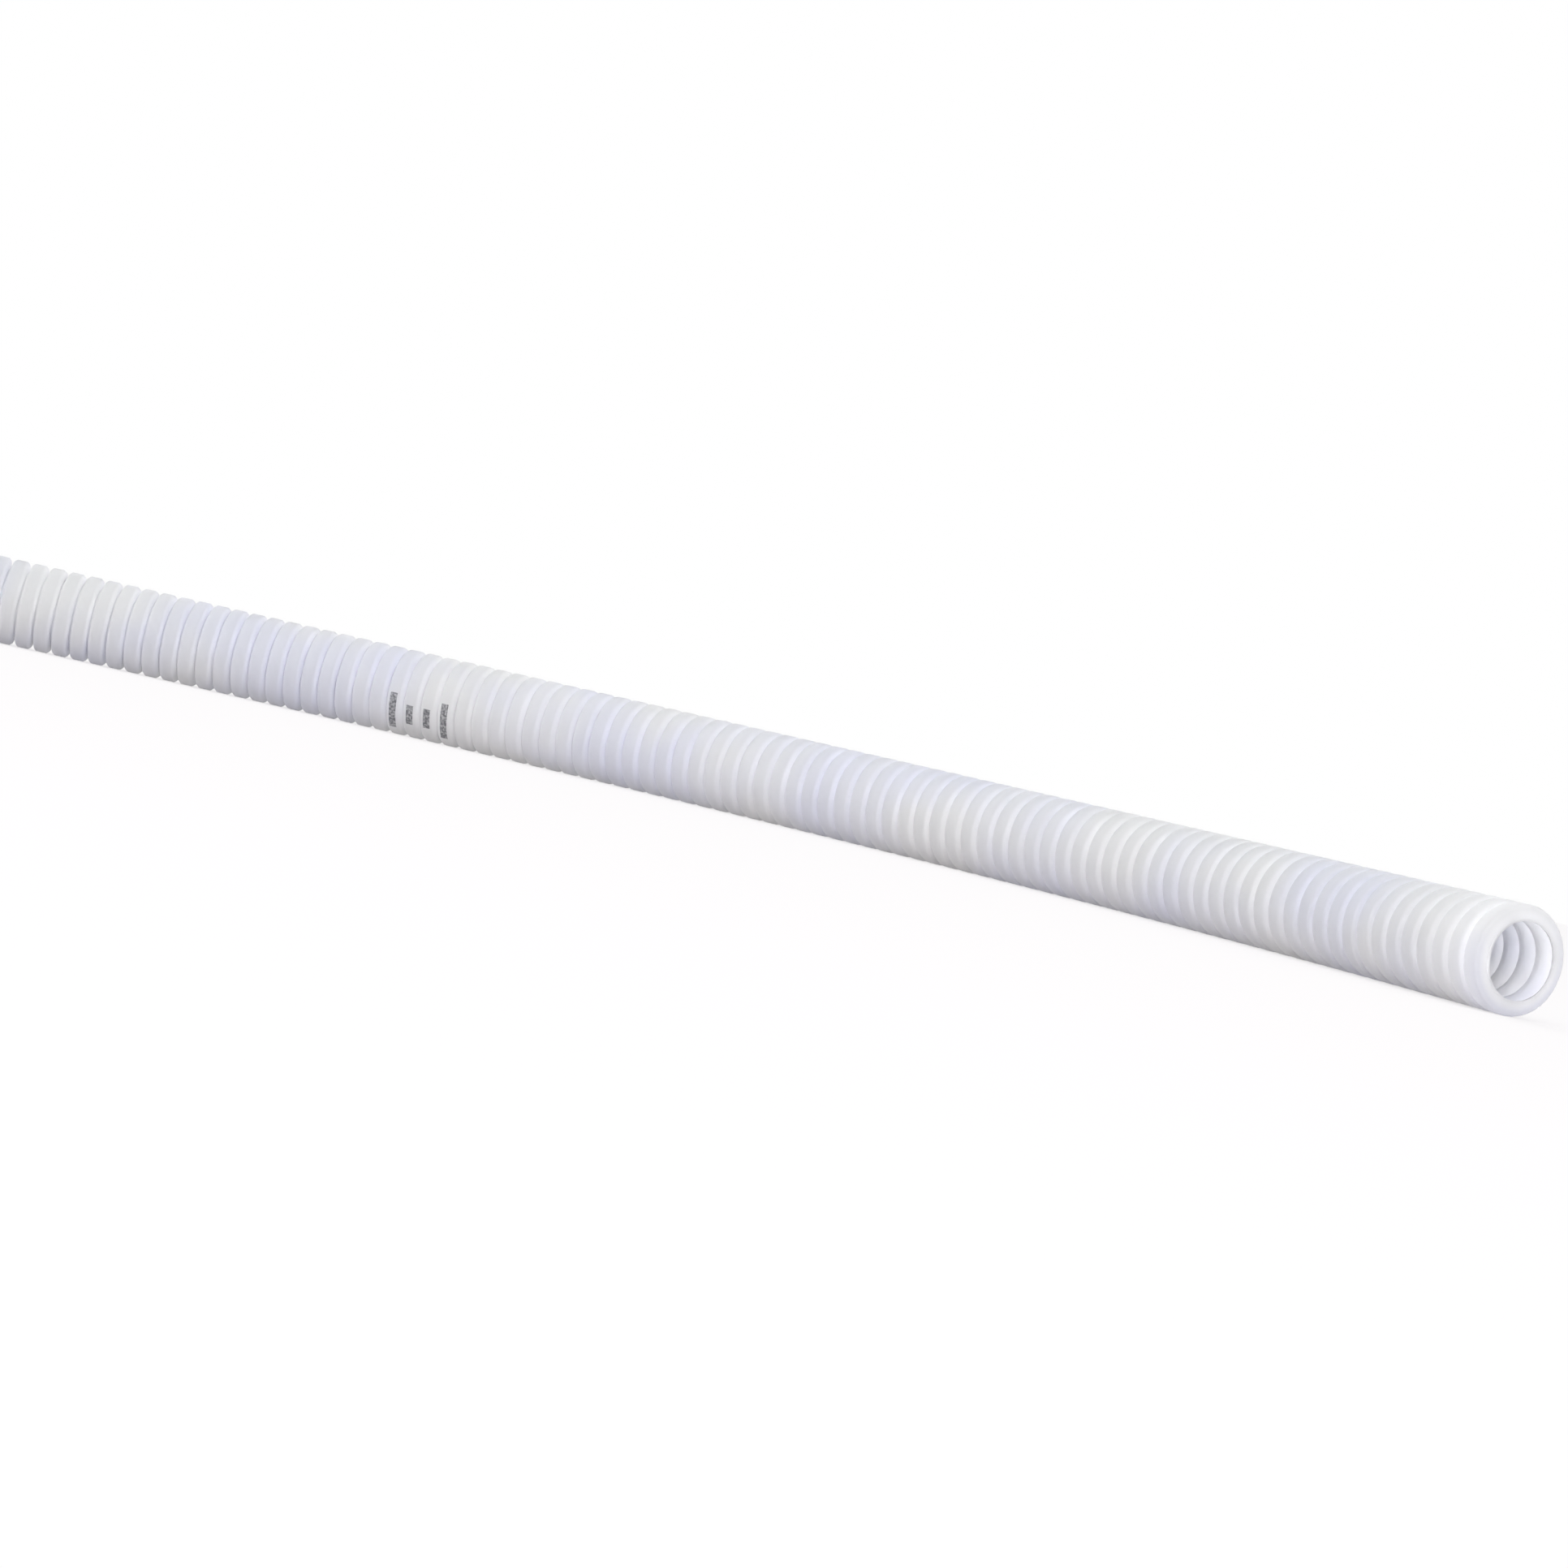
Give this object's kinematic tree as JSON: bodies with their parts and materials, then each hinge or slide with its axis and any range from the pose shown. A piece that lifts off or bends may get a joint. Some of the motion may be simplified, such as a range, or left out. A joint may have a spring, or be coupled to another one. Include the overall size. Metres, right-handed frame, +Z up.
{
  "type": "flexible electrical conduit",
  "caption": "Length of white corrugated flexible conduit, bowed from its coil, that protects and guides electrical cables through its open bore.",
  "frame": {"origin": "on the floor, under the middle of the box around the whole piece", "axes": "+Z up, square to the plane of the bend; +X along the longest side, from the straight run's end towards the bent end; -Y is the way the bent end's mouth faces"},
  "size_m": [0.8126, 0.336, 0.02],
  "materials": {
    "white_pvc": "semi-matt extruded and vacuum-formed white PVC"
  },
  "bodies": {
    "root": {"corrugated_tube": "white_pvc"}
  },
  "joints": []
}
